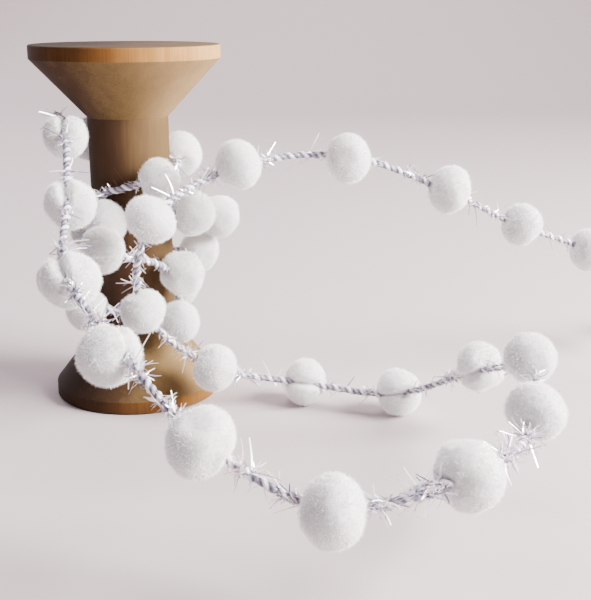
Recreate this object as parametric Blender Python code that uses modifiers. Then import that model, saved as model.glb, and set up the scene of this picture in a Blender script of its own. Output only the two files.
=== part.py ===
"""Pom pom garland: white craft pompoms threaded on a wire-cored tinsel cord, which is wound
loosely round the neck of a turned wooden spool, stands forward in one wide loop and runs off
to the right. Metres, +Z up. The origin is the centre of the spool's base."""

from typing import NamedTuple

import bmesh
import bpy
import numpy as np
from mathutils import Matrix, Vector

MM = 0.001
FLOOR = 0.0

# Turned spool: flat rims, straight flares and a plain round neck
SPOOL_HEIGHT = 109 * MM
SPOOL_TOP_RADIUS = 28.6 * MM
SPOOL_BASE_RADIUS = 26 * MM
RIM_HEIGHT = 4 * MM
FLARE_HEIGHT = 17.4 * MM
NECK_RADIUS = 12.3 * MM
RIM_CHAMFER = 0.5 * MM
SPOOL_STEPS = 48

# Tinsel cord and the gap between pieces that touch
CORD_RADIUS = 1.1 * MM
CORD_STEP = 6 * MM
PIECE_GAP = 0.3 * MM
CHANNEL_RADIUS = CORD_RADIUS + 0.4 * MM
CURVE_STEP = 0.75 * MM
STIFFNESS_PASSES = 22

# Pompom: a ball that is flatter along the cord, with one crease where the cord is pressed in
FLATTENING = 0.88
CORD_DEPTH = 0.42
CREASE_DEPTH = 0.46
CREASE_HALF_WIDTH = np.radians(22)
LUMP = 0.03
AROUND = 12
ALONG = 7

# A wound stretch passes between two pompoms at least this far from the spool's axis
HUG_RADIUS = 14.5 * MM

# Creases of the free pompoms are measured from the side that faces this way
FRONT = np.array((0.05, -0.96, 0.27))


class Wound(NamedTuple):
    """A pompom on the neck: degrees turned round it, mm from its axis, up and across."""

    turn: float
    reach: float
    height: float
    across: float
    crease: float


class Free(NamedTuple):
    """A pompom off the spool: the place of its centre and its size across, in mm."""

    x: float
    y: float
    z: float
    across: float
    crease: float


# The winding, from the bottom of the neck to the top
WOUND_POMPOMS = (
    Wound(-126, 21.1, 31.5, 14.0, 170),
    Wound(-46, 22.6, 27.0, 13.0, 185),
    Wound(56, 20.6, 28.2, 14.0, 175),
    Wound(130, 20.8, 34.0, 14.2, 190),
    Wound(199, 23.6, 38.0, 14.0, 180),
    Wound(264, 33.7, 53.3, 14.0, 20),
    Wound(324, 20.6, 41.0, 14.4, 180),
    Wound(402, 25.5, 41.2, 14.2, 180),
    Wound(500, 20.6, 49.5, 14.2, 190),
    Wound(617, 20.2, 58.5, 13.2, 190),
    Wound(704, 20.6, 58.6, 14.4, 180),
    Wound(749, 30.2, 53.6, 14.0, 180),
    Wound(820, 21.2, 62.5, 14.2, 170),
    Wound(930, 20.6, 63.0, 13.6, 180),
    Wound(1023, 20.7, 70.6, 13.2, 180),
    Wound(1127, 20.5, 73.8, 14.8, 180),
    Wound(1217, 20.6, 79.0, 14.2, 180),
)

# The rest of the route: the loop that stands forward, then the strand that runs to the right
FREE_POMPOMS = (
    Free(-14.9, -20.8, 84.0, 13.2, 0),
    Free(-8.4, -49.1, 69.4, 14.0, 0),
    Free(-3.4, -77.3, 56.0, 14.8, 0),
    Free(10.4, -104.4, 46.1, 15.0, -65),
    Free(32.0, -127.7, 35.6, 15.6, 180),
    Free(58.5, -137.0, 24.7, 15.6, 180),
    Free(85.7, -130.4, 29.7, 15.8, -15),
    Free(104.9, -103.6, 32.4, 14.0, 130),
    Free(110.7, -71.0, 33.9, 13.4, 165),
    Free(103.4, -42.9, 21.6, 14.6, 0),
    Free(82.6, -24.1, 6.8, 15.0, 0),
    Free(54.2, -15.3, 6.8, 15.0, 0),
    Free(26.7, -24.0, 14.6, 14.6, 180),
    Free(7.4, -35.0, 35.8, 13.4, 180),
    Free(12.0, -45.3, 64.5, 14.2, 180),
    Free(34.9, -26.2, 76.4, 14.6, 180),
    Free(66.5, -18.1, 77.2, 15.0, 200),
    Free(97.2, -13.3, 67.1, 14.6, 180),
    Free(122.6, 1.0, 53.5, 13.6, 180),
    Free(148.8, 15.3, 42.1, 14.6, 180),
    Free(171.0, 33.0, 26.0, 14.2, 160),
    Free(186.0, 54.0, 6.8, 14.8, 180),
)
LAST_LOOP_POMPOM = 13
CORD_NAMES = ("cord_wound", "cord_loop", "cord_strand")

# The cord's two ends: tucked in at the foot of the neck, and lying past the last pompom
TUCKED_END = (Wound(-196, 14.6, 26.6, 0, 0), Wound(-155, 14.6, 29.4, 0, 0))
CREST = np.array((-20.6, -5.0, 88.4)) * MM
LYING_END = np.array(((194.0, 69.0, 2.6), (198.0, 80.0, 1.3))) * MM


def clear_scene():
    for old in list(bpy.data.objects):
        bpy.data.objects.remove(old, do_unlink=True)


def new_collection(name):
    collection = bpy.data.collections.new(name)
    bpy.context.scene.collection.children.link(collection)
    return collection


def new_material(name, colour, roughness, metallic=0.0):
    material = bpy.data.materials.new(name)
    material.use_nodes = True
    shader = material.node_tree.nodes["Principled BSDF"]
    shader.inputs["Base Color"].default_value = (*colour, 1.0)
    shader.inputs["Roughness"].default_value = roughness
    shader.inputs["Metallic"].default_value = metallic
    return material


def unit(vectors):
    return vectors / np.linalg.norm(vectors, axis=-1, keepdims=True)


def on_turn(row):
    """The place of a row of the winding, in metres."""
    angle = np.radians(row.turn)
    return np.array((row.reach * np.cos(angle), row.reach * np.sin(angle), row.height)) * MM


def pompom_frames():
    """Centre, radius, crease direction and cord direction of every pompom, in cord order."""
    rows = WOUND_POMPOMS + FREE_POMPOMS
    wound = np.array([on_turn(row) for row in WOUND_POMPOMS])
    free = np.array([(row.x, row.y, row.z) for row in FREE_POMPOMS]) * MM
    centres = np.vstack((wound, free))
    radii = np.array([row.across for row in rows]) * MM / 2
    line = np.vstack((on_turn(TUCKED_END[1]), centres, LYING_END[0]))
    along = unit(line[2:] - line[:-2])
    facing = np.vstack((wound * (1, 1, 0), np.tile(FRONT, (len(free), 1))))
    facing = unit(facing - (along * facing).sum(1, keepdims=True) * along)
    angle = np.radians([row.crease for row in rows])[:, None]
    creases = facing * np.cos(angle) + np.cross(along, facing) * np.sin(angle)
    return centres, radii, creases, along


def between_turns(first, second, row, following):
    """The point of a wound stretch half-way between two pompoms, kept clear of the neck."""
    turn = np.radians((row.turn + following.turn) / 2)
    half_step = np.radians(following.turn - row.turn) / 2
    chord = np.cos(half_step) * (np.hypot(*first[:2]) + np.hypot(*second[:2])) / 2
    reach = max(chord, HUG_RADIUS)
    return np.array((reach * np.cos(turn), reach * np.sin(turn), (first[2] + second[2]) / 2))


def route_points():
    """The cord's own points: one in each pompom's crease, and one between wound pompoms."""
    centres, radii, creases, _ = pompom_frames()
    seats = centres + CORD_DEPTH * radii[:, None] * creases
    last_wound = len(WOUND_POMPOMS) - 1
    points = [on_turn(row) for row in TUCKED_END]
    for index, seat in enumerate(seats):
        points.append(seat)
        if index < last_wound:
            pair = WOUND_POMPOMS[index], WOUND_POMPOMS[index + 1]
            points.append(between_turns(seat, seats[index + 1], *pair))
        elif index == last_wound:
            points.append(CREST)
    return np.vstack((points, LYING_END)), seats


def smooth_curve(points, step):
    """Cubic pieces through the points, with the slope at each from its two neighbours, then
    evened as a stiff wire core evens a bend and read off at equal steps."""
    place = np.append(0, np.cumsum(np.linalg.norm(np.diff(points, axis=0), axis=1)))
    slope = np.gradient(points, place, axis=0)
    wanted = np.linspace(0, place[-1], round(place[-1] / CURVE_STEP))
    piece = np.clip(np.searchsorted(place, wanted, "right") - 1, 0, len(place) - 2)
    span = (place[piece + 1] - place[piece])[:, None]
    x = (wanted - place[piece])[:, None] / span
    start = points[piece] * (2 * x**3 - 3 * x**2 + 1) + slope[piece] * span * (x**3 - 2 * x**2 + x)
    end = points[piece + 1] * (3 * x**2 - 2 * x**3) + slope[piece + 1] * span * (x**3 - x**2)
    curve = start + end
    for _ in range(STIFFNESS_PASSES):
        curve[1:-1] = (curve[:-2] + 2 * curve[1:-1] + curve[2:]) / 4
    return read_at_steps(curve, step)


def read_at_steps(curve, step):
    place = np.append(0, np.cumsum(np.linalg.norm(np.diff(curve, axis=0), axis=1)))
    count = round(place[-1] / step) + 1
    wanted = np.linspace(0, place[-1], count)
    return np.stack([np.interp(wanted, place, axis) for axis in curve.T], axis=1)


def add_tube(name, points, radius, collection):
    """A round tube along the points, with filled ends."""
    data = bpy.data.curves.new(name, "CURVE")
    data.dimensions = "3D"
    data.bevel_depth = radius
    data.bevel_resolution = 2
    data.use_fill_caps = True
    spline = data.splines.new("POLY")
    spline.points.add(len(points) - 1)
    flat = np.column_stack((points, np.ones(len(points)))).ravel()
    spline.points.foreach_set("co", flat)
    tube = bpy.data.objects.new(name, data)
    collection.objects.link(tube)
    return tube


def as_mesh(curve, collection):
    """A closed mesh in place of a curve object, with its end caps welded on."""
    bpy.context.view_layer.update()
    graph = bpy.context.evaluated_depsgraph_get()
    mesh = bpy.data.meshes.new_from_object(curve.evaluated_get(graph))
    solid = bmesh.new()
    solid.from_mesh(mesh)
    bmesh.ops.remove_doubles(solid, verts=solid.verts, dist=0.01 * MM)
    solid.to_mesh(mesh)
    solid.free()
    made = bpy.data.objects.new(curve.name + "_mesh", mesh)
    made.matrix_world = curve.matrix_world
    collection.objects.link(made)
    bpy.data.objects.remove(curve, do_unlink=True)
    return made


def add_spool(collection, material):
    """The spool: its half profile, from the top's centre down to the base's, turned once."""
    flare_top = SPOOL_HEIGHT - RIM_HEIGHT
    flare_foot = RIM_HEIGHT
    profile = (
        (0, SPOOL_HEIGHT),
        (SPOOL_TOP_RADIUS - RIM_CHAMFER, SPOOL_HEIGHT),
        (SPOOL_TOP_RADIUS, SPOOL_HEIGHT - RIM_CHAMFER),
        (SPOOL_TOP_RADIUS, flare_top),
        (NECK_RADIUS, flare_top - FLARE_HEIGHT),
        (NECK_RADIUS, flare_foot + FLARE_HEIGHT),
        (SPOOL_BASE_RADIUS, flare_foot),
        (SPOOL_BASE_RADIUS, FLOOR + RIM_CHAMFER),
        (SPOOL_BASE_RADIUS - RIM_CHAMFER, FLOOR),
        (0, FLOOR),
    )
    mesh = bpy.data.meshes.new("wooden_spool")
    edges = [(k, k + 1) for k in range(len(profile) - 1)]
    mesh.from_pydata([(radius, 0, height) for radius, height in profile], edges, [])
    spool = bpy.data.objects.new("wooden_spool", mesh)
    spool.data.materials.append(material)
    collection.objects.link(spool)
    turn = spool.modifiers.new("Turned", "SCREW")
    turn.steps = SPOOL_STEPS
    turn.render_steps = SPOOL_STEPS
    turn.use_merge_vertices = True
    turn.merge_threshold = 0.01 * MM
    return spool


def parted(points, joints):
    """The points in stretches, parted by the small gap half-way along the step at each joint."""
    stretches = []
    start = points[:0]
    first = 0
    for joint in joints:
        middle = (points[joint] + points[joint + 1]) / 2
        half_gap = unit(points[joint + 1] - points[joint]) * PIECE_GAP / 2
        stretches.append(np.vstack((start, points[first : joint + 1], middle - half_gap)))
        start = (middle + half_gap)[None]
        first = joint + 1
    stretches.append(np.vstack((start, points[first:])))
    return stretches


def add_cord(seats, collection, material):
    """The cord in three tubes that meet end to end inside a pompom. Returns a wider tube along
    the same points, which cuts the channels."""
    points = smooth_curve(route_points()[0], CORD_STEP)
    last_wound = len(WOUND_POMPOMS) - 1
    joint_seats = seats[[last_wound, last_wound + LAST_LOOP_POMPOM]]
    joints = [int(np.argmin(np.linalg.norm(points - seat, axis=1))) for seat in joint_seats]
    for name, stretch in zip(CORD_NAMES, parted(points, joints)):
        tube = add_tube(name, stretch, CORD_RADIUS, collection)
        tube.data.materials.append(material)
    return add_tube("cord_channel", points, CHANNEL_RADIUS, collection)


def ball_radius(directions, radius, seed):
    """Distance to the surface: an ellipsoid flatter along Z, with soft lumps, and a crease in
    the half-plane of +X that fades towards both poles."""
    x, y, z = directions.T
    azimuth = np.arctan2(y, x)
    level = np.sqrt(x**2 + y**2 + (z / FLATTENING) ** 2)
    lumps = np.sin(3 * azimuth + seed) * (1 - z**2) + np.sin(4 * z + 2 * seed + 1.5 * x)
    crease = np.exp(-((azimuth / CREASE_HALF_WIDTH) ** 2)) * np.sqrt(1 - z**2)
    return radius * (1 / level + LUMP / 2 * lumps - CREASE_DEPTH * crease)


def cut_flat_spot(solid, matrix):
    """Takes off what lies below the floor, which leaves a small flat spot to rest on."""
    local = matrix.inverted()
    down = (matrix.to_3x3().transposed() @ Vector((0, 0, -1))).normalized()
    below = Vector((matrix.translation.x, matrix.translation.y, FLOOR))
    cut = bmesh.ops.bisect_plane(
        solid,
        geom=solid.verts[:] + solid.edges[:] + solid.faces[:],
        plane_co=local @ below,
        plane_no=down,
        clear_outer=True,
    )
    edges = [piece for piece in cut["geom_cut"] if isinstance(piece, bmesh.types.BMEdge)]
    bmesh.ops.holes_fill(solid, edges=edges)


def add_pompom(name, centre, radius, crease, along, seed, channel, collection, material):
    """One pompom: a displaced ball, its pole along the cord, less the cord's channel."""
    side = np.cross(along, crease)
    matrix = Matrix.Translation(centre) @ Matrix(np.column_stack((crease, side, along))).to_4x4()
    solid = bmesh.new()
    bmesh.ops.create_uvsphere(solid, u_segments=AROUND, v_segments=ALONG, radius=1)
    directions = np.array([vertex.co for vertex in solid.verts])
    placed = directions * ball_radius(unit(directions), radius, seed)[:, None]
    for vertex, place in zip(solid.verts, placed):
        vertex.co = place
    if centre[2] < radius:
        cut_flat_spot(solid, matrix)
    mesh = bpy.data.meshes.new(name)
    solid.to_mesh(mesh)
    solid.free()
    mesh.shade_smooth()
    pompom = bpy.data.objects.new(name, mesh)
    pompom.matrix_world = matrix
    pompom.data.materials.append(material)
    collection.objects.link(pompom)
    cut = pompom.modifiers.new("Cord channel", "BOOLEAN")
    cut.operation = "DIFFERENCE"
    cut.solver = "EXACT"
    cut.object = channel


def main():
    clear_scene()
    garland = new_collection("pom_pom_garland")
    cutters = new_collection("cutters")
    wood = new_material("turned_wood", (0.52, 0.36, 0.20), 0.6)
    tinsel = new_material("tinsel_cord", (0.72, 0.73, 0.76), 0.35, 0.4)
    pile = new_material("white_pompom_pile", (0.86, 0.84, 0.84), 0.95)

    add_spool(garland, wood)
    centres, radii, creases, along = pompom_frames()
    seats = route_points()[1]
    channel = as_mesh(add_cord(seats, garland, tinsel), cutters)
    channel.hide_render = True
    channel.display_type = "WIRE"
    for number, frame in enumerate(zip(centres, radii, creases, along), start=1):
        add_pompom(f"pompom_{number:02d}", *frame, number, channel, garland, pile)


main()
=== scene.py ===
"""Looks of the pom pom garland on its wooden spool: fluffy acrylic pompoms, a wire-cored
tinsel yarn with loose film slivers, and turned wood, on a plain pale floor."""

from typing import NamedTuple

import bpy
import numpy as np
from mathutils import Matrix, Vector


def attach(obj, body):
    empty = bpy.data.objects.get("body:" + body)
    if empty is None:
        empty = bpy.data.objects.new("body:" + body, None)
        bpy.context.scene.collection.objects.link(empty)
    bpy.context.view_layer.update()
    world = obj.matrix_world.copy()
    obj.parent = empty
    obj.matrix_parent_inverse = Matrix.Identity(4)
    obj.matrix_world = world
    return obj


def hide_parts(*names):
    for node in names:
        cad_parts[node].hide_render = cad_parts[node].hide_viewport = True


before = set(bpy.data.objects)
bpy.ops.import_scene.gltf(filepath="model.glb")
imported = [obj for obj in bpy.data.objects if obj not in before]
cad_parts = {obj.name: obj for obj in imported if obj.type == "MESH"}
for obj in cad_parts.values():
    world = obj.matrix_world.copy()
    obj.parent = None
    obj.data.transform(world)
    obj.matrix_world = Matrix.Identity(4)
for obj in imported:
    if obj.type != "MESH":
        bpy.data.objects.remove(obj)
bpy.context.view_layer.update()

MM = 0.001

# Turned spool, as in the solids
SPOOL_HEIGHT = 109 * MM
SPOOL_TOP_RADIUS = 28.6 * MM
SPOOL_BASE_RADIUS = 26 * MM
RIM_HEIGHT = 4 * MM
FLARE_HEIGHT = 17.4 * MM
NECK_RADIUS = 12.3 * MM
RIM_EDGE = 0.5 * MM
RIM_EDGE_POINTS = 6
CENTRE_RADIUS = 0.5 * MM
SPOOL_ROWS = 110
SPOOL_COLUMNS = 144
CRISP_ANGLE = np.radians(25)
TOOL_MARK_DEPTH = 0.015 * MM
TOOL_MARK_PITCH = 1.6 * MM

# The blank that the spool was turned from: its fibres lean a little. Painted light and shade: lighter
# on the window lamp's side, darker on the far side and at the base
FIBRE_LEAN = (np.radians(2), np.radians(-3), 0)
FIBRE_STRETCH = 0.045
FIBRE_WIDTH = 0.45 * MM
STREAK_WIDTH = 3.2 * MM
CLOUD_WIDTH = 16 * MM
STREAK_SHARE = 0.45
CLOUD_SHARE = 0.4
MOTTLE_SHARE = 0.45
SIDE_LIGHT_SOFTNESS = 6 * MM
HEIGHT_SHADE = 0.22
END_GRAIN_DEPTH = 0.2 * MM
BORDER = (-0.1 * MM, 0.2 * MM)

# On the neck the wood's tone is multiplied by the first number, and the second is added: this darkens
# and flattens it, partly as painted shade from the pompoms wound on it and partly as a darker tone of
# its own
NECK_TONE = (0.45, 0.155)

# Tinsel yarn: its path, and its section in shares of CORD_RADIUS
CORD_RADIUS = 1.1 * MM
CURVE_STEP = 0.75 * MM
STIFFNESS_PASSES = 22
YARN_STEP = 0.4 * MM
YARN_SIDES = 14
YARN_CORE = 0.66
STRAND_BULGE = 0.38
THIN_STRAND = 0.5
TWIST_PITCH = 4.2 * MM
END_CROWN = 0.5

# The yarn's ripple: its share of CORD_RADIUS, its waves round, and two lengths over 2 pi
RIPPLE = 0.07
RIPPLES_ROUND = 5
RIPPLE_LENGTHS = (0.7 * MM, 1.9 * MM)

# Pompom, as in the solids, and the finer form of its pile
FLATTENING = 0.88
CORD_DEPTH = 0.42
LUMP = 0.03
BODY_SHARE = 0.965
FACETS = 10
FACET_REACH = (0.87, 1.0)
FACET_SHARPNESS = 34
LEAST_FACING = 0.1
BUMP_DEPTH = 0.012
DIMPLE_DEPTH = 0.1
DIMPLE_WIDTH = 0.3
BALL_RINGS = 34
BALL_COLUMNS = 60
COLUMN_PULL = 0.5
NEAR_POLE = 0.9
NORMAL_STEP = 0.02
FIBRES_PER_POMPOM = 14000
TUFT_WIDTH = 0.9 * MM
PILE_REACH = 0.62 * MM
PILE_TILT = 0.4
PILE_FIBRE_WIDTH = 0.08 * MM
ROOT_DEPTH = 0.25 * MM
FLOOR_GAP = 0.02 * MM

# Shares of PILE_REACH: the least, what a tuft adds and what chance adds
LEAST_PILE = 0.35
TUFTED_PILE = 1.1
STRAY_PILE = 0.6

# Points of the cord between wound pompoms stay at least this far from the spool's axis
HUG_RADIUS = 14.5 * MM

# Creases of the free pompoms are measured from the side that faces this way
FRONT = np.array((0.05, -0.96, 0.27))

# Camera, at the photograph's viewing angle
CAMERA_PLACE = (0.0512, -0.321, 0.120)
CAMERA_PITCH_DOWN = 15.8
FOCAL_PIXELS = 1040
PICTURE_LONG_SIDE = 600
SENSOR = 36
NEAREST_SEEN = 0.01

# Stage, in metres
FLOOR_HALF_WIDTH = 3.0
FLOOR_BACK = 0.9
SWEEP_RADIUS = 0.7
SWEEP_POINTS = 24
WALL_HEIGHT = 3.0


class Wound(NamedTuple):
    """A pompom on the neck: degrees turned round it, mm from its axis, up and across, and
    the crease's angle round the cord, in degrees from the side away from the axis."""

    turn: float
    reach: float
    height: float
    across: float
    crease: float


class Free(NamedTuple):
    """A pompom off the spool: the place of its centre and its size across, in mm, and the
    crease's angle round the cord, in degrees from the side that faces FRONT."""

    x: float
    y: float
    z: float
    across: float
    crease: float


class Sliver(NamedTuple):
    """One kind of film piece on the yarn: how many to a mm, sizes in mm, how steeply it
    leaves the yarn, how much it curls, its rows of points, and how likely one is where the
    yarn is in a pompom."""

    name: str
    per_mm: float
    shortest: float
    longest: float
    narrow: float
    wide: float
    steepness: float
    curl: float
    steps: int
    left_inside: float


class Lamp(NamedTuple):
    """A square lamp: its place, the place it shines at and its side, in metres, its watts
    and its colour."""

    name: str
    place: tuple
    aim: tuple
    side: float
    watts: float
    colour: str


WOUND_POMPOMS = (
    Wound(-126, 21.1, 31.5, 14.0, 170),
    Wound(-46, 22.6, 27.0, 13.0, 185),
    Wound(56, 20.6, 28.2, 14.0, 175),
    Wound(130, 20.8, 34.0, 14.2, 190),
    Wound(199, 23.6, 38.0, 14.0, 180),
    Wound(264, 33.7, 53.3, 14.0, 20),
    Wound(324, 20.6, 41.0, 14.4, 180),
    Wound(402, 25.5, 41.2, 14.2, 180),
    Wound(500, 20.6, 49.5, 14.2, 190),
    Wound(617, 20.2, 58.5, 13.2, 190),
    Wound(704, 20.6, 58.6, 14.4, 180),
    Wound(749, 30.2, 53.6, 14.0, 180),
    Wound(820, 21.2, 62.5, 14.2, 170),
    Wound(930, 20.6, 63.0, 13.6, 180),
    Wound(1023, 20.7, 70.6, 13.2, 180),
    Wound(1127, 20.5, 73.8, 14.8, 180),
    Wound(1217, 20.6, 79.0, 14.2, 180),
)

FREE_POMPOMS = (
    Free(-14.9, -20.8, 84.0, 13.2, 0),
    Free(-8.4, -49.1, 69.4, 14.0, 0),
    Free(-3.4, -77.3, 56.0, 14.8, 0),
    Free(10.4, -104.4, 46.1, 15.0, -65),
    Free(32.0, -127.7, 35.6, 15.6, 180),
    Free(58.5, -137.0, 24.7, 15.6, 180),
    Free(85.7, -130.4, 29.7, 15.8, -15),
    Free(104.9, -103.6, 32.4, 14.0, 130),
    Free(110.7, -71.0, 33.9, 13.4, 165),
    Free(103.4, -42.9, 21.6, 14.6, 0),
    Free(82.6, -24.1, 6.8, 15.0, 0),
    Free(54.2, -15.3, 6.8, 15.0, 0),
    Free(26.7, -24.0, 14.6, 14.6, 180),
    Free(7.4, -35.0, 35.8, 13.4, 180),
    Free(12.0, -45.3, 64.5, 14.2, 180),
    Free(34.9, -26.2, 76.4, 14.6, 180),
    Free(66.5, -18.1, 77.2, 15.0, 200),
    Free(97.2, -13.3, 67.1, 14.6, 180),
    Free(122.6, 1.0, 53.5, 13.6, 180),
    Free(148.8, 15.3, 42.1, 14.6, 180),
    Free(171.0, 33.0, 26.0, 14.2, 160),
    Free(186.0, 54.0, 6.8, 14.8, 180),
)

# Points that the cord goes through off the pompoms: at both its ends, and at the crest where
# it leaves the winding
TUCKED_END = (Wound(-196, 14.6, 26.6, 0, 0), Wound(-155, 14.6, 29.4, 0, 0))
CREST = np.array((-20.6, -5.0, 88.4)) * MM
LYING_END = np.array(((194.0, 69.0, 2.6), (198.0, 80.0, 1.3))) * MM

# Seams by pompom number, as depth and half width. The rest are pressed shut over the cord.
OPEN_SEAM = (0.4, np.radians(13))
SHUT_SEAM = (0.05, np.radians(10))
HALF_SEAM = (0.34, np.radians(9))
SEAMS = {
    6: (0.3, np.radians(12)),
    18: OPEN_SEAM,
    19: OPEN_SEAM,
    20: OPEN_SEAM,
    21: (0.24, np.radians(8)),
    27: HALF_SEAM,
    28: HALF_SEAM,
    29: HALF_SEAM,
}

SLIVERS = (
    Sliver("wrapped_film", 3.0, 1.0, 2.2, 0.3, 0.6, 0.2, 0.2, 3, 0.4),
    Sliver("short_slivers", 1.7, 1.2, 2.8, 0.26, 0.46, 0.8, 0.5, 3, 0.04),
    Sliver("long_slivers", 0.75, 2.6, 5.4, 0.32, 0.52, 1.1, 0.35, 5, 0.01),
)
# Film colours: white, and pink and blue for the split light; the two darkest grey-violet tints are
# painted shade, for strips in shadow
FILM_TINTS = ("#FFFFFF", "#FFFFFF", "#F4F0F6", "#EDE4EC", "#F6E4E2", "#DDE1F2", "#B8B2C8", "#8F8AA2")

# How thick the film stands at a pompom's ends, and at those, by number, where it is bushy
USUAL_FILM = 0.5
BUSHY_FILM = {18: 1.2, 20: 2.0, 21: 2.4, 22: 1.2, 23: 1.5, 24: 5.0, 25: 5.0, 26: 1.4, 30: 1.6, 33: 2.0}

# Film between pompoms: the least, what a tuft adds, and two waves' lengths over 2 pi, in mm
LEAST_FILM = 0.06
TUFTED_FILM = 0.6
TUFT_WAVES = (2.6, 7.1)

# Film at a pompom, in its radii from its centre: the bush's place and width, and the inside
BUSH_PLACE = 1.25
BUSH_WIDTH = 0.3
INSIDE = 0.8

# How film pieces vary: sideways lean, steepness, root in shares of CORD_RADIUS, and roll
FILM_SIDEWAYS = 0.7
FILM_RISE = (0.5, 1.8)
FILM_ROOTS = (0.6, 1.0)
FILM_ROLL = 0.8
FILM_FLOOR_GAP = 0.1 * MM
FILM_SEED = 7
TIP_NARROWING = 0.5

# A large window-like lamp at the right, weak fills from the front left and from behind, and
# one above that is aimed at the wall and also reaches the garland at a slant
GARLAND_MIDDLE = (0.05, -0.04, 0.05)
LAMPS = (
    Lamp("window", (0.72, -0.2, 0.42), GARLAND_MIDDLE, 0.45, 54.0, "#FFFBF5"),
    Lamp("front_fill", (-0.45, -0.7, 0.5), GARLAND_MIDDLE, 0.8, 1.6, "#EFEDFF"),
    Lamp("back_fill", (-0.75, 0.75, 0.45), GARLAND_MIDDLE, 0.8, 7.0, "#F6F2FF"),
    Lamp("wall_wash", (0.1, 0.5, 1.3), (0.1, 1.6, 0.1), 0.8, 36.0, "#FFF4F4"),
)
ROOM_COLOUR = "#E2CFD4"
ROOM_STRENGTH = 0.26


def linear(hex_colour):
    """An sRGB hex colour as linear RGBA."""
    parts = np.array([int(hex_colour[k : k + 2], 16) for k in (1, 3, 5)]) / 255
    straight = np.where(parts <= 0.04045, parts / 12.92, ((parts + 0.055) / 1.055) ** 2.4)
    return (*straight, 1.0)


def unit(vectors):
    """The same directions, one long."""
    return vectors / np.linalg.norm(vectors, axis=-1, keepdims=True)


def random_unit(rng, count):
    """Directions by chance, even all round."""
    return unit(rng.normal(size=(count, 3)))


def on_turn(row):
    """The place of a wound row, in metres."""
    angle = np.radians(row.turn)
    return np.array((row.reach * np.cos(angle), row.reach * np.sin(angle), row.height)) * MM


def pompom_frames():
    """Centre, radius, crease direction and cord direction of every pompom, in cord order."""
    rows = WOUND_POMPOMS + FREE_POMPOMS
    wound = np.array([on_turn(row) for row in WOUND_POMPOMS])
    free = np.array([(row.x, row.y, row.z) for row in FREE_POMPOMS]) * MM
    centres = np.vstack((wound, free))
    radii = np.array([row.across for row in rows]) * MM / 2
    line = np.vstack((on_turn(TUCKED_END[1]), centres, LYING_END[0]))
    along = unit(line[2:] - line[:-2])
    facing = np.vstack((wound * (1, 1, 0), np.tile(FRONT, (len(free), 1))))
    facing = unit(facing - (along * facing).sum(1, keepdims=True) * along)
    angle = np.radians([row.crease for row in rows])[:, None]
    creases = facing * np.cos(angle) + np.cross(along, facing) * np.sin(angle)
    return centres, radii, creases, along


def between_turns(first, second, row, following):
    """The point of a wound stretch half-way between two pompoms, kept clear of the neck."""
    turn = np.radians((row.turn + following.turn) / 2)
    half_step = np.radians(following.turn - row.turn) / 2
    chord = np.cos(half_step) * (np.hypot(*first[:2]) + np.hypot(*second[:2])) / 2
    reach = max(chord, HUG_RADIUS)
    return np.array((reach * np.cos(turn), reach * np.sin(turn), (first[2] + second[2]) / 2))


def route_points():
    """The cord's own points: one in each pompom's crease, and one between wound pompoms."""
    centres, radii, creases, _ = pompom_frames()
    seats = centres + CORD_DEPTH * radii[:, None] * creases
    last_wound = len(WOUND_POMPOMS) - 1
    points = [on_turn(row) for row in TUCKED_END]
    for index, seat in enumerate(seats):
        points.append(seat)
        if index < last_wound:
            pair = WOUND_POMPOMS[index], WOUND_POMPOMS[index + 1]
            points.append(between_turns(seat, seats[index + 1], *pair))
        elif index == last_wound:
            points.append(CREST)
    return np.vstack((points, LYING_END))


def smooth_curve(points, step):
    """Cubic pieces through the points, with the slope at each from its two neighbours, then
    evened as a stiff wire core evens a bend and read off at equal steps."""
    place = np.append(0, np.cumsum(np.linalg.norm(np.diff(points, axis=0), axis=1)))
    slope = np.gradient(points, place, axis=0)
    wanted = np.linspace(0, place[-1], round(place[-1] / CURVE_STEP))
    piece = np.clip(np.searchsorted(place, wanted, "right") - 1, 0, len(place) - 2)
    span = (place[piece + 1] - place[piece])[:, None]
    x = (wanted - place[piece])[:, None] / span
    start = points[piece] * (2 * x**3 - 3 * x**2 + 1) + slope[piece] * span * (x**3 - 2 * x**2 + x)
    end = points[piece + 1] * (3 * x**2 - 2 * x**3) + slope[piece + 1] * span * (x**3 - x**2)
    curve = start + end
    for _ in range(STIFFNESS_PASSES):
        curve[1:-1] = (curve[:-2] + 2 * curve[1:-1] + curve[2:]) / 4
    place = np.append(0, np.cumsum(np.linalg.norm(np.diff(curve, axis=0), axis=1)))
    wanted = np.linspace(0, place[-1], round(place[-1] / step) + 1)
    return np.stack([np.interp(wanted, place, axis) for axis in curve.T], axis=1)


def add_node(tree, kind, links=(), stops=(), **settings):
    """A node with its settings, and a ramp's stops. A link is an input's name or number and
    the socket or the value that it gets."""
    node = tree.nodes.new(kind)
    for key, value in settings.items():
        setattr(node, key, value)
    for name, source in links:
        if isinstance(source, bpy.types.NodeSocket):
            tree.links.new(source, node.inputs[name])
        else:
            node.inputs[name].default_value = source
    for place, colour in stops:
        node.color_ramp.elements.new(place).color = linear(colour)
    if stops:
        node.color_ramp.elements.remove(node.color_ramp.elements[0])
        node.color_ramp.elements.remove(node.color_ramp.elements[-1])
    return node


def new_material(name, **values):
    """A Principled material with these plain values on its own sockets."""
    material = bpy.data.materials.new(name)
    material.use_nodes = True
    shader = material.node_tree.nodes["Principled BSDF"]
    for socket, value in values.items():
        shader.inputs[socket.replace("_", " ")].default_value = value
    return material, material.node_tree, shader


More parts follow.
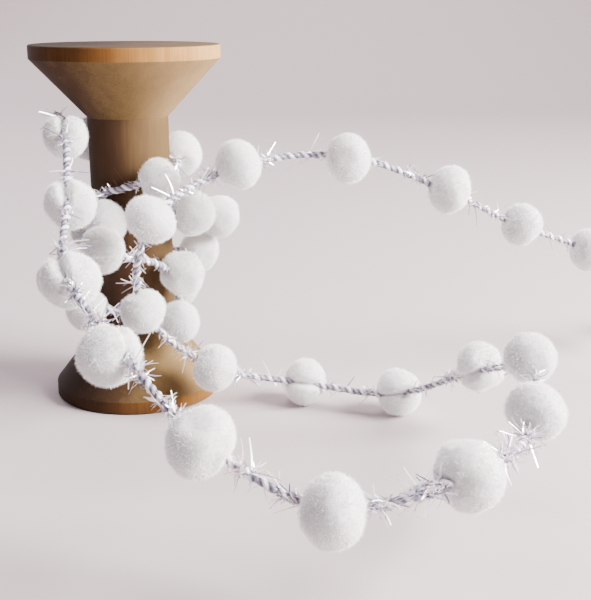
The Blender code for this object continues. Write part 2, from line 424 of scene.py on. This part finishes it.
def painted_side_light(tree, place):
    """Painted light and shade on the wood, 1 at most on the side towards the window lamp and a little
    under 0 at the far side's foot: half its X over its distance from the axis, softened so that it
    changes evenly across the flat top, plus a part that grows with its height, for painted shade
    towards the base."""
    flat = add_node(tree, "ShaderNodeVectorMath", [(0, place), (1, (1, 1, 0))], operation="MULTIPLY")
    reach_links = [(0, flat.outputs["Vector"])]
    reach = add_node(tree, "ShaderNodeVectorMath", reach_links, operation="LENGTH").outputs["Value"]
    softened = add_node(tree, "ShaderNodeMath", [(0, reach), (1, SIDE_LIGHT_SOFTNESS)]).outputs["Value"]
    parts = add_node(tree, "ShaderNodeSeparateXYZ", [("Vector", place)])
    share_links = [(0, parts.outputs["X"]), (1, softened)]
    share = add_node(tree, "ShaderNodeMath", share_links, operation="DIVIDE").outputs["Value"]
    half_links = [(0, share), (1, 0.5), (2, 0.5 - HEIGHT_SHADE)]
    half = add_node(tree, "ShaderNodeMath", half_links, operation="MULTIPLY_ADD").outputs["Value"]
    height_links = [(0, parts.outputs["Z"]), (1, HEIGHT_SHADE / SPOOL_HEIGHT), (2, half)]
    return add_node(tree, "ShaderNodeMath", height_links, operation="MULTIPLY_ADD").outputs["Value"]


def share_past(tree, place, inset):
    """0 between the spool's ends and 1 near them: it rises as the height's distance to the
    middle passes half the spool's height less the inset."""
    height = add_node(tree, "ShaderNodeSeparateXYZ", [("Vector", place)]).outputs["Z"]
    offset_links = [(0, height), (1, SPOOL_HEIGHT / 2)]
    offset = add_node(tree, "ShaderNodeMath", offset_links, operation="SUBTRACT").outputs["Value"]
    distance = add_node(tree, "ShaderNodeMath", [(0, offset)], operation="ABSOLUTE").outputs["Value"]
    start = SPOOL_HEIGHT / 2 - inset
    near, far = (start + step for step in BORDER)
    range_links = [("Value", distance), ("From Min", near), ("From Max", far)]
    return add_node(tree, "ShaderNodeMapRange", range_links).outputs["Result"]


def turned_beech():
    """Beech, turned and bare. Its even, close grain shows only as short fine flecks and faint streaks
    along the fibres. Painted light and shade make the side towards the window lamp a lighter greyish
    tan, the far side a dark reddish brown, and the base darker than the top. The neck is darker and
    flatter in tone, partly as painted shade under the winding's pompoms and partly as a darker tone of
    its own. The rims are a warmer orange tan, painted lighter where their upright band catches the
    side light, and the end grain has taken up dirt."""
    material, tree, shader = new_material("turned_beech", Roughness=0.8, Specular_IOR_Level=0.16)
    place = add_node(tree, "ShaderNodeTexCoord").outputs["Object"]
    blank_links = [("Vector", place), ("Rotation", FIBRE_LEAN), ("Scale", (1, 1, FIBRE_STRETCH))]
    blank = add_node(tree, "ShaderNodeMapping", blank_links).outputs["Vector"]
    fibre_links = [("Vector", blank), ("Scale", 1 / FIBRE_WIDTH), ("Detail", 3.0), ("Roughness", 0.6)]
    fibres = add_node(tree, "ShaderNodeTexNoise", fibre_links).outputs["Fac"]
    streak_links = [("Vector", blank), ("Scale", 1 / STREAK_WIDTH), ("Detail", 4.0)]
    streaks = add_node(tree, "ShaderNodeTexNoise", streak_links).outputs["Fac"]
    cloud_links = [("Vector", place), ("Scale", 1 / CLOUD_WIDTH), ("Detail", 2.0)]
    clouds = add_node(tree, "ShaderNodeTexNoise", cloud_links).outputs["Fac"]
    grain_links = [(0, STREAK_SHARE), (2, fibres), (3, streaks)]
    grain = add_node(tree, "ShaderNodeMix", grain_links, data_type="FLOAT").outputs[0]
    mottle_links = [(0, CLOUD_SHARE), (2, grain), (3, clouds)]
    mottle = add_node(tree, "ShaderNodeMix", mottle_links).outputs[0]
    # Painted light and shade: the tone is lighter towards the window lamp, darker on the far side and
    # towards the base
    round_links = [(0, MOTTLE_SHARE), (2, painted_side_light(tree, place)), (3, mottle)]
    round_tone = add_node(tree, "ShaderNodeMix", round_links).outputs[0]
    # Painted shade, in part: the neck's tone is made darker and flatter, as under the pompoms wound on
    # it
    neck_links = [(0, round_tone), (1, NECK_TONE[0]), (2, NECK_TONE[1])]
    neck_tone = add_node(tree, "ShaderNodeMath", neck_links, operation="MULTIPLY_ADD").outputs["Value"]
    off_neck = share_past(tree, place, RIM_HEIGHT + FLARE_HEIGHT)
    tone_links = [(0, off_neck), (2, neck_tone), (3, round_tone)]
    tone = add_node(tree, "ShaderNodeMix", tone_links).outputs[0]
    places = (0.24, 0.36, 0.5, 0.64, 0.76)
    off_rim_stops = zip(places, ("#281A10", "#3D2919", "#655030", "#7A6140", "#8C734F"))
    # Painted light, in part: the rims' upright band is lighter, as lit from the side, and also a
    # warmer orange tan
    lit_warm_rim_stops = zip(places, ("#2C1B0F", "#452A11", "#633F1A", "#8A6130", "#AE8757"))
    end_stops = zip(places, ("#1A110A", "#2B1F14", "#3F301F", "#4C3C2A", "#584934"))
    off_rim, lit_warm_rim, ends = (
        add_node(tree, "ShaderNodeValToRGB", [("Fac", tone)], stops=tuple(stops)).outputs["Color"]
        for stops in (off_rim_stops, lit_warm_rim_stops, end_stops)
    )
    # The rims take the lighter, warmer colours: partly painted light, partly a warmer tone
    side_links = [(0, share_past(tree, place, RIM_HEIGHT)), (6, off_rim), (7, lit_warm_rim)]
    side = add_node(tree, "ShaderNodeMix", side_links, data_type="RGBA").outputs[2]
    colour_links = [(0, share_past(tree, place, END_GRAIN_DEPTH)), (6, side), (7, ends)]
    colour = add_node(tree, "ShaderNodeMix", colour_links, data_type="RGBA").outputs[2]
    bump_links = [("Height", grain), ("Strength", 0.16), ("Distance", 0.08 * MM)]
    bump = add_node(tree, "ShaderNodeBump", bump_links).outputs["Normal"]
    tree.links.new(colour, shader.inputs["Base Color"])
    tree.links.new(bump, shader.inputs["Normal"])
    return material


def pompom_body():
    """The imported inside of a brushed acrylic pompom: dull white, lit through by what falls on
    it, so that its shade side stays pale; a soft mottle stands for the packed fibre ends."""
    material, tree, shader = new_material(
        "packed_acrylic_pile",
        Roughness=1.0,
        Specular_IOR_Level=0.1,
        Subsurface_Weight=1.0,
        Subsurface_Radius=(1.0, 0.97, 0.95),
        Subsurface_Scale=1.5 * MM,
    )
    place = add_node(tree, "ShaderNodeTexCoord").outputs["Object"]
    tuft_links = [("Vector", place), ("Scale", 1 / TUFT_WIDTH), ("Detail", 3.0)]
    tufts = add_node(tree, "ShaderNodeTexNoise", tuft_links).outputs["Fac"]
    stops = ((0.35, "#F2EEF0"), (0.65, "#FFFEFE"))
    colour = add_node(tree, "ShaderNodeValToRGB", [("Fac", tufts)], stops=stops).outputs["Color"]
    bump_links = [("Height", tufts), ("Strength", 0.3), ("Distance", 0.3 * MM)]
    bump = add_node(tree, "ShaderNodeBump", bump_links).outputs["Normal"]
    tree.links.new(colour, shader.inputs["Base Color"])
    tree.links.new(bump, shader.inputs["Normal"])
    return material


def pompom_fibres():
    """Single acrylic fibre ends at the pompom's skin: matt and white at the tips, with painted shade
    that makes them a little greyer down at the roots, where they crowd together."""
    material, tree, shader = new_material("acrylic_fibre_ends", Roughness=0.9, Specular_IOR_Level=0.15)
    tip = add_node(tree, "ShaderNodeAttribute", attribute_name="tip").outputs["Fac"]
    # Painted shade: a little grey at the fibres' roots, white at their tips
    stops = ((0.05, "#F0ECEE"), (0.6, "#FFFFFF"))
    colour = add_node(tree, "ShaderNodeValToRGB", [("Fac", tip)], stops=stops).outputs["Color"]
    tree.links.new(colour, shader.inputs["Base Color"])
    return material


def tinsel_yarn():
    """Rayon and silver film twisted round a wire: white matt crowns, greyer on the thin strand, with
    painted shade that darkens the grooves between the strands to a dark grey-violet, broken by bright
    flecks of film."""
    material, tree, shader = new_material("tinsel_yarn", Specular_IOR_Level=0.5)
    crown = add_node(tree, "ShaderNodeAttribute", attribute_name="crown").outputs["Fac"]
    strand = add_node(tree, "ShaderNodeUVMap", uv_map="UVMap").outputs["UV"]
    placed_links = [("Vector", strand), ("Scale", (5.0, 1.5, 1.0))]
    placed = add_node(tree, "ShaderNodeMapping", placed_links).outputs["Vector"]
    fleck_links = [("Vector", placed), ("Scale", 1.4), ("Detail", 3.0), ("Roughness", 0.7)]
    flecks = add_node(tree, "ShaderNodeTexNoise", fleck_links).outputs["Fac"]
    shade = add_node(tree, "ShaderNodeMix", [(0, 0.5), (2, crown), (3, flecks)]).outputs[0]
    # Painted shade: dark grey-violet in the grooves between the strands, white on the crowns
    yarn_stops = ((0.24, "#3A3749"), (0.42, "#807D8F"), (0.58, "#C6C3CF"), (0.74, "#F6F5F9"))
    film_stops = ((0.54, "#000000"), (0.62, "#C8C8C8"))
    dull_stops = ((0.5, "#D0D0D0"), (0.62, "#8A8A8A"))
    colour = add_node(tree, "ShaderNodeValToRGB", [("Fac", shade)], stops=yarn_stops)
    film = add_node(tree, "ShaderNodeValToRGB", [("Fac", flecks)], stops=film_stops)
    dull = add_node(tree, "ShaderNodeValToRGB", [("Fac", flecks)], stops=dull_stops)
    bump_links = [("Height", flecks), ("Strength", 0.7), ("Distance", 0.3 * MM)]
    bump = add_node(tree, "ShaderNodeBump", bump_links)
    tree.links.new(colour.outputs["Color"], shader.inputs["Base Color"])
    tree.links.new(film.outputs["Color"], shader.inputs["Metallic"])
    tree.links.new(dull.outputs["Color"], shader.inputs["Roughness"])
    tree.links.new(bump.outputs["Normal"], shader.inputs["Normal"])
    return material


def silver_film():
    """Metallised polyester film cut in strips: bright where it faces the light and dark where it does
    not, each strip tinted by the light that it splits; the darkest grey-violet tints are painted
    shade, for strips that lie in shadow."""
    material, tree, shader = new_material("metallised_film", Metallic=0.55, Roughness=0.32)
    tint = add_node(tree, "ShaderNodeAttribute", attribute_name="tint").outputs["Color"]
    tree.links.new(tint, shader.inputs["Base Color"])
    return material


def plain_paper():
    """Matt pale paper, even all over."""
    return new_material("pale_paper", Base_Color=linear("#B2A7AA"), Roughness=0.95)[0]


def new_piece(name, points, materials, quads=(), triangles=(), uv=None, slots=None):
    """A mesh object at the origin, riding on the root, from numpy points and faces. The slots
    give each face its material, quads before triangles."""
    mesh = bpy.data.meshes.new(name)
    quads = np.asarray(quads, np.int32).reshape(-1, 4)
    triangles = np.asarray(triangles, np.int32).reshape(-1, 3)
    corners = np.concatenate((quads.ravel(), triangles.ravel()))
    starts = np.arange(len(quads)) * 4, quads.size + np.arange(len(triangles)) * 3
    mesh.vertices.add(len(points))
    mesh.vertices.foreach_set("co", points.astype(np.float32).ravel())
    mesh.loops.add(len(corners))
    mesh.loops.foreach_set("vertex_index", corners)
    mesh.polygons.add(len(quads) + len(triangles))
    mesh.polygons.foreach_set("loop_start", np.concatenate(starts).astype(np.int32))
    if slots is not None:
        mesh.polygons.foreach_set("material_index", slots.astype(np.int32))
    mesh.update(calc_edges=True)
    if uv is not None:
        mesh.uv_layers.new(name="UVMap").data.foreach_set("uv", uv[corners].astype(np.float32).ravel())
    mesh.shade_smooth()
    for material in materials:
        mesh.materials.append(material)
    piece = bpy.data.objects.new(name, mesh)
    bpy.context.scene.collection.objects.link(piece)
    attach(piece, "root")
    return piece


def ring_quads(rows, columns):
    """Quads between closed rings of points, ring after ring."""
    row, column = np.meshgrid(np.arange(rows - 1), np.arange(columns), indexing="ij")
    here = row * columns + column
    beside = row * columns + (column + 1) % columns
    return np.stack((here, beside, beside + columns, here + columns), axis=-1).reshape(-1, 4)


def end_fans(rows, columns):
    """Triangles that close the first and the last ring on two added points."""
    near = np.arange(columns)
    after = (near + 1) % columns
    start = np.stack((after, near, np.full(columns, rows * columns)), axis=-1)
    offset = (rows - 1) * columns
    end = np.stack((near + offset, after + offset, np.full(columns, rows * columns + 1)), axis=-1)
    return np.vstack((start, end))


def moving_frames(path):
    """Tangent and two normals at each point of a path, carried along it without twist."""
    tangent = unit(np.gradient(path, axis=0))
    normal = np.empty_like(path)
    carried = np.cross(tangent[0], (0, 0, 1))
    for index, direction in enumerate(tangent):
        carried = unit(carried - direction * (carried @ direction))
        normal[index] = carried
    return tangent, normal, np.cross(tangent, normal)


def add_yarn(path, material):
    """The yarn: a ring at each point of the path, whose radius has a full bulge for the thick
    strand and, opposite, a lower one for the thin strand, by the cosine of the angle between;
    the bulges turn once round in TWIST_PITCH, and a small ripple roughens them."""
    _, normal, side = moving_frames(path)
    around = np.linspace(0, 2 * np.pi, YARN_SIDES, endpoint=False)[None]
    travelled = (np.arange(len(path)) * YARN_STEP)[:, None]
    phase = around - 2 * np.pi * travelled / TWIST_PITCH
    wave = np.cos(phase)
    bulge = np.maximum(wave, -THIN_STRAND * wave)
    quick, slow = (travelled / length for length in RIPPLE_LENGTHS)
    ripple = np.sin(RIPPLES_ROUND * around + quick) * np.sin(slow - around)
    radius = CORD_RADIUS * (YARN_CORE + STRAND_BULGE * bulge + RIPPLE * ripple)
    outward = np.cos(around)[..., None] * normal[:, None] + np.sin(around)[..., None] * side[:, None]
    points = (path[:, None] + radius[..., None] * outward).reshape(-1, 3)
    uv = np.stack((phase / (2 * np.pi), travelled / MM + 0 * around), axis=-1).reshape(-1, 2)
    yarn = new_piece(
        "tinsel_yarn",
        np.vstack((points, path[:1], path[-1:])),
        [material],
        quads=ring_quads(len(path), YARN_SIDES),
        triangles=end_fans(len(path), YARN_SIDES),
        uv=np.vstack((uv, uv[:1], uv[-1:])),
    )
    # How far each point stands out on its strand, which also sets the painted groove shade
    crown = yarn.data.attributes.new("crown", "FLOAT", "POINT")
    crowns = np.append(bulge.ravel(), (END_CROWN, END_CROWN))
    crown.data.foreach_set("value", crowns.astype(np.float32))
    return yarn


def strips(base, direction, across, length, width, curl, steps):
    """Thin strips: each leaves its base along its direction and bends towards curl with the
    square of the distance, and narrows towards the tip. The points of each strip are in one
    row of the result."""
    part = np.linspace(0, 1, steps)[None, :, None]
    bent = part * direction[:, None] + part**2 * curl[:, None]
    spine = base[:, None] + length[:, None, None] * bent
    half = width[:, None, None] / 2 * (1 - TIP_NARROWING * part) * across[:, None]
    return np.stack((spine - half, spine + half), axis=2).reshape(len(base), -1, 3)


def strip_quads(count, steps):
    """Quads between the pairs of points along each strip, strip after strip."""
    first = (np.arange(count)[:, None] * steps + np.arange(steps - 1)[None]) * 2
    return np.stack((first, first + 1, first + 3, first + 2), axis=-1)


def tuft_chance(path, kind, centres, radii):
    """How likely a film piece is at each point of the path: it rises and falls along the yarn
    in irregular tufts, is highest just outside each pompom, and low inside one."""
    travelled = np.arange(len(path)) * YARN_STEP / MM
    short, long = (travelled / length for length in TUFT_WAVES)
    waves = np.maximum(np.sin(short) * np.sin(long + 1), 0)
    depths = np.linalg.norm(path[:, None] - centres[None], axis=2) / radii[None]
    depth = depths.min(axis=1)
    film = np.array([BUSHY_FILM.get(number, USUAL_FILM) for number in range(1, len(radii) + 1)])
    near_pompom = film[depths.argmin(axis=1)] * np.exp(-(((depth - BUSH_PLACE) / BUSH_WIDTH) ** 2))
    outside = LEAST_FILM + TUFTED_FILM * waves + near_pompom
    return np.where(depth < INSIDE, kind.left_inside, outside)


def add_slivers(kind, path, centres, radii, rng, material):
    """Film pieces of one kind: each starts on the yarn, lies along its twist or stands out of
    it by the kind's steepness, and none reaches the floor or the spool's neck."""
    tangent, normal, side = moving_frames(path)
    chance = tuft_chance(path, kind, centres, radii)
    count = int(kind.per_mm * len(path) * YARN_STEP / MM)
    at = rng.choice(len(path), size=count, p=chance / chance.sum())
    angle = rng.uniform(0, 2 * np.pi, count)[:, None]
    outward = np.cos(angle) * normal[at] + np.sin(angle) * side[at]
    around = np.cross(tangent[at], outward)
    lean = rng.normal(0, 1, count)[:, None]
    sideways = rng.normal(0, FILM_SIDEWAYS, count)[:, None]
    flat_way = unit(np.sign(lean) * tangent[at] + sideways * around)
    rise = kind.steepness * rng.uniform(*FILM_RISE, count)[:, None]
    direction = unit(flat_way + rise * outward)
    base = path[at] + outward * CORD_RADIUS * rng.uniform(*FILM_ROOTS, count)[:, None]
    length = rng.uniform(kind.shortest, kind.longest, count) * MM
    width = rng.uniform(kind.narrow, kind.wide, count) * MM
    roll = outward + FILM_ROLL * kind.steepness * rng.normal(size=(count, 3))
    across = unit(np.cross(direction, roll))
    curl = kind.curl * random_unit(rng, count)
    made = strips(base, direction, across, length, width, curl, kind.steps)
    off_axis = np.hypot(made[..., 0], made[..., 1]).min(axis=1)
    keep = (made[..., 2].min(axis=1) > FILM_FLOOR_GAP) & (off_axis > NECK_RADIUS)
    kept = int(keep.sum())
    quads = strip_quads(kept, kind.steps)
    piece = new_piece(kind.name, made[keep].reshape(-1, 3), [material], quads=quads)
    tints = np.array([linear(tint) for tint in FILM_TINTS])
    chosen = tints[rng.integers(0, len(FILM_TINTS), kept)]
    tint = piece.data.color_attributes.new("tint", "FLOAT_COLOR", "POINT")
    colours = np.repeat(chosen, 2 * kind.steps, axis=0)
    tint.data.foreach_set("color", colours.astype(np.float32).ravel())
    return piece


def trimmed(directions, seed):
    """How far the scissors left the pile in each direction: 1, less where one of a few flat
    cuts takes the ball's side off. The nearer of ball and cuts wins, softly."""
    rng = np.random.default_rng(seed)
    facing = random_unit(rng, FACETS)
    reach = rng.uniform(*FACET_REACH, FACETS)
    cuts = reach / np.clip(directions @ facing.T, LEAST_FACING, None)
    nearness = np.exp(-FACET_SHARPNESS) + np.exp(-FACET_SHARPNESS * cuts).sum(axis=-1)
    return -np.log(nearness) / FACET_SHARPNESS


def ball_radius(directions, radius, seed):
    """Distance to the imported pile's surface: an ellipsoid flatter along Z, times the trim, plus
    soft lumps and small bumps, less a seam in the half-plane of +X that fades towards both
    poles, and less a dimple where the cord goes in and one where it comes out. The seed is the
    pompom's number."""
    x, y, z = np.moveaxis(directions, -1, 0)
    azimuth = np.arctan2(y, x)
    level = np.sqrt(x**2 + y**2 + (z / FLATTENING) ** 2)
    lumps = np.sin(3 * azimuth + seed) * (1 - z**2) + np.sin(4 * z + 2 * seed + 1.5 * x)
    bumps = np.sin(9 * x + seed) * np.sin(8 * y + 2 * seed) * np.sin(7 * z + 3 * seed)
    depth, half_width = SEAMS.get(seed, SHUT_SEAM)
    seam = np.exp(-((azimuth / half_width) ** 2)) * np.sqrt(np.maximum(1 - z**2, 0))
    from_hole = np.hypot(np.hypot(x - CORD_DEPTH, y), np.abs(z) - np.sqrt(1 - CORD_DEPTH**2))
    dimples = np.exp(-((from_hole / DIMPLE_WIDTH) ** 2))
    body = BODY_SHARE * trimmed(directions, seed) / level
    return radius * (
        body + LUMP / 2 * lumps + BUMP_DEPTH * bumps - depth * seam - DIMPLE_DEPTH * dimples
    )


def ball_grid():
    """Directions on a ball: rings from pole to pole, closer columns at the seam, two poles."""
    polar = np.linspace(0, np.pi, BALL_RINGS + 2)[1:-1, None]
    even = np.linspace(-np.pi, np.pi, BALL_COLUMNS, endpoint=False)[None]
    azimuth = even - COLUMN_PULL * np.sin(even)
    z = np.cos(polar) + 0 * azimuth
    rings = np.stack((np.sin(polar) * np.cos(azimuth), np.sin(polar) * np.sin(azimuth), z), axis=-1)
    return np.vstack((rings.reshape(-1, 3), ((0, 0, 1), (0, 0, -1))))


def surface_normals(directions, radius, seed):
    """Outward normals of the ball, from the surface a small step away in two directions."""
    helper = np.where(np.abs(directions[:, 2:]) < NEAR_POLE, (0.0, 0.0, 1.0), (1.0, 0.0, 0.0))
    first = unit(np.cross(directions, helper))
    second = np.cross(directions, first)
    here = directions * ball_radius(directions, radius, seed)[:, None]
    steps = []
    for tangent in (first, second):
        near = unit(directions + NORMAL_STEP * tangent)
        steps.append(near * ball_radius(near, radius, seed)[:, None] - here)
    return unit(np.cross(steps[0], steps[1]))


def pile_fibres(radius, seed):
    """Fibre ends as slim upright triangles: each has its root by chance on the ball, a little
    under the surface, and leans a little off the surface's normal. Neighbours end together in
    tufts: the reach follows the size of a product of three sines, one along each direction,
    with waves a tuft wide, plus a little by chance."""
    rng = np.random.default_rng(seed)
    roots = random_unit(rng, FIBRES_PER_POMPOM)
    normal = surface_normals(roots, radius, seed)
    base = roots * ball_radius(roots, radius, seed)[:, None] - ROOT_DEPTH * normal
    direction = unit(normal + PILE_TILT * random_unit(rng, FIBRES_PER_POMPOM))
    waves = roots * np.pi * radius / TUFT_WIDTH + seed * np.array((1, 2, 3))
    tufts = np.abs(np.sin(waves).prod(axis=1))
    strays = rng.random(FIBRES_PER_POMPOM) ** 3
    shares = LEAST_PILE + TUFTED_PILE * tufts + STRAY_PILE * strays
    reach = ROOT_DEPTH + PILE_REACH * shares[:, None]
    across = unit(np.cross(direction, random_unit(rng, FIBRES_PER_POMPOM))) * PILE_FIBRE_WIDTH / 2
    return np.stack((base - across, base + across, base + reach * direction), axis=1).reshape(-1, 3)


def add_pompom(number, centre, radius, crease, along, materials):
    """One pompom: its trimmed, creased ball and the fibres on it, pressed level at the floor."""
    turn = np.column_stack((crease, np.cross(along, crease), along))
    grid = ball_grid()
    ball = grid * ball_radius(grid, radius, number)[:, None]
    blades = pile_fibres(radius, number)
    points = np.vstack((ball, blades)) @ turn.T + centre
    points[:, 2] = np.maximum(points[:, 2], FLOOR_GAP)
    fans = end_fans(BALL_RINGS, BALL_COLUMNS)[:, ::-1]
    quads = ring_quads(BALL_RINGS, BALL_COLUMNS)[:, ::-1]
    triangles = np.arange(len(blades)).reshape(-1, 3) + len(ball)
    pompom = new_piece(
        f"fluffy_pompom_{number:02d}",
        points,
        materials,
        quads=quads,
        triangles=np.vstack((fans, triangles)),
        slots=np.repeat((0, 1), (len(quads) + len(fans), len(triangles))),
    )
    # 0 at the fibres' roots and 1 at their tips, for the painted shade at the roots
    tip = pompom.data.attributes.new("tip", "FLOAT", "POINT")
    shares = np.append(np.zeros(len(ball)), np.tile((0, 0, 1), len(triangles)))
    tip.data.foreach_set("value", shares.astype(np.float32))
    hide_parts(f"pompom_{number:02d}")


def spool_profile():
    """Radius and height from the middle of the spool's top to the middle of its base: flat
    top, rounded rim edges and straight flares that meet the neck at a crisp edge, read at
    even steps and at every corner."""
    rim_foot = SPOOL_HEIGHT - RIM_HEIGHT
    quarter = np.linspace(0, np.pi / 2, RIM_EDGE_POINTS)
    drop = RIM_EDGE * (1 - np.cos(quarter))
    inset = RIM_EDGE * (1 - np.sin(quarter))
    top_edge = np.column_stack((SPOOL_TOP_RADIUS - inset, SPOOL_HEIGHT - drop))
    base_edge = np.column_stack((SPOOL_BASE_RADIUS - drop, inset))
    corners = np.vstack((
        (CENTRE_RADIUS, SPOOL_HEIGHT),
        top_edge,
        (SPOOL_TOP_RADIUS, rim_foot),
        (NECK_RADIUS, rim_foot - FLARE_HEIGHT),
        (NECK_RADIUS, RIM_HEIGHT + FLARE_HEIGHT),
        (SPOOL_BASE_RADIUS, RIM_HEIGHT),
        base_edge,
        (CENTRE_RADIUS, 0),
    ))
    place = np.append(0, np.cumsum(np.linalg.norm(np.diff(corners, axis=0), axis=1)))
    wanted = np.unique(np.concatenate((place, np.linspace(0, place[-1], SPOOL_ROWS))))
    return np.stack([np.interp(wanted, place, axis) for axis in corners.T], axis=1)


def add_spool(material):
    """The spool: its half profile turned once, with shallow tool marks between the rims."""
    profile = spool_profile()
    around = np.linspace(0, 2 * np.pi, SPOOL_COLUMNS, endpoint=False)[None]
    height = profile[:, 1:]
    between_rims = (height > RIM_HEIGHT) & (height < SPOOL_HEIGHT - RIM_HEIGHT)
    marks = TOOL_MARK_DEPTH * np.sin(2 * np.pi * height / TOOL_MARK_PITCH) * between_rims
    reach = profile[:, :1] + marks
    rings = np.stack((reach * np.cos(around), reach * np.sin(around), height + 0 * around), axis=-1)
    points = np.vstack((rings.reshape(-1, 3), ((0, 0, SPOOL_HEIGHT), (0, 0, 0))))
    spool = new_piece(
        "turned_spool",
        points,
        [material],
        quads=ring_quads(len(profile), SPOOL_COLUMNS)[:, ::-1],
        triangles=end_fans(len(profile), SPOOL_COLUMNS)[:, ::-1],
    )
    spool.data.set_sharp_from_angle(angle=CRISP_ANGLE)
    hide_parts("wooden_spool")


def add_floor():
    """The floor and the wall behind it in one sheet: flat, then a quarter round, then up."""
    quarter = np.linspace(0, np.pi / 2, SWEEP_POINTS)
    back = FLOOR_BACK + SWEEP_RADIUS * np.sin(quarter)
    rise = SWEEP_RADIUS * (1 - np.cos(quarter))
    bend = np.column_stack((back, rise))
    profile = np.vstack(((-FLOOR_HALF_WIDTH, 0), bend, (FLOOR_BACK + SWEEP_RADIUS, WALL_HEIGHT)))
    left, right = -FLOOR_HALF_WIDTH, FLOOR_HALF_WIDTH
    points = [(side, y, z) for y, z in profile for side in (left, right)]
    faces = [(k, k + 1, k + 3, k + 2) for k in range(0, len(points) - 2, 2)]
    mesh = bpy.data.meshes.new("floor_sweep")
    mesh.from_pydata(points, [], faces)
    mesh.shade_smooth()
    mesh.materials.append(plain_paper())
    floor = bpy.data.objects.new("floor_sweep", mesh)
    bpy.context.scene.collection.objects.link(floor)


def add_light(lamp):
    """A square lamp at its place, turned to shine at its aim."""
    data = bpy.data.lights.new(lamp.name, "AREA")
    data.size = lamp.side
    data.energy = lamp.watts
    data.color = linear(lamp.colour)[:3]
    light = bpy.data.objects.new(lamp.name, data)
    light.location = lamp.place
    away = Vector(lamp.place) - Vector(lamp.aim)
    light.rotation_euler = away.to_track_quat("Z", "Y").to_euler()
    bpy.context.scene.collection.objects.link(light)


def add_lights():
    """All the lamps, and an even, faintly pink light from the room."""
    for lamp in LAMPS:
        add_light(lamp)
    world = bpy.data.worlds.new("soft_room")
    bpy.context.scene.world = world
    world.use_nodes = True
    background = world.node_tree.nodes["Background"]
    background.inputs["Color"].default_value = linear(ROOM_COLOUR)
    background.inputs["Strength"].default_value = ROOM_STRENGTH


def make_camera():
    """The camera, looking along +Y and down by its pitch."""
    data = bpy.data.cameras.new("camera")
    data.sensor_width = SENSOR
    data.lens = SENSOR * FOCAL_PIXELS / PICTURE_LONG_SIDE
    data.clip_start = NEAREST_SEEN
    camera = bpy.data.objects.new("camera", data)
    camera.location = CAMERA_PLACE
    camera.rotation_euler = (np.radians(90 - CAMERA_PITCH_DOWN), 0, 0)
    bpy.context.scene.collection.objects.link(camera)
    bpy.context.scene.camera = camera


def add_cord(centres, radii):
    """The yarn with its film pieces."""
    path = smooth_curve(route_points(), YARN_STEP)
    rng = np.random.default_rng(FILM_SEED)
    film = silver_film()
    pieces = [add_slivers(kind, path, centres, radii, rng, film) for kind in SLIVERS]
    yarn = add_yarn(path, tinsel_yarn())
    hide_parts("cord_wound", "cord_loop", "cord_strand")


def main():
    make_camera()
    add_floor()
    add_lights()
    centres, radii, creases, along = pompom_frames()
    add_cord(centres, radii)
    add_spool(turned_beech())
    pile = [pompom_body(), pompom_fibres()]
    for number, place in enumerate(zip(centres, radii, creases, along), start=1):
        add_pompom(number, *place, pile)


main()
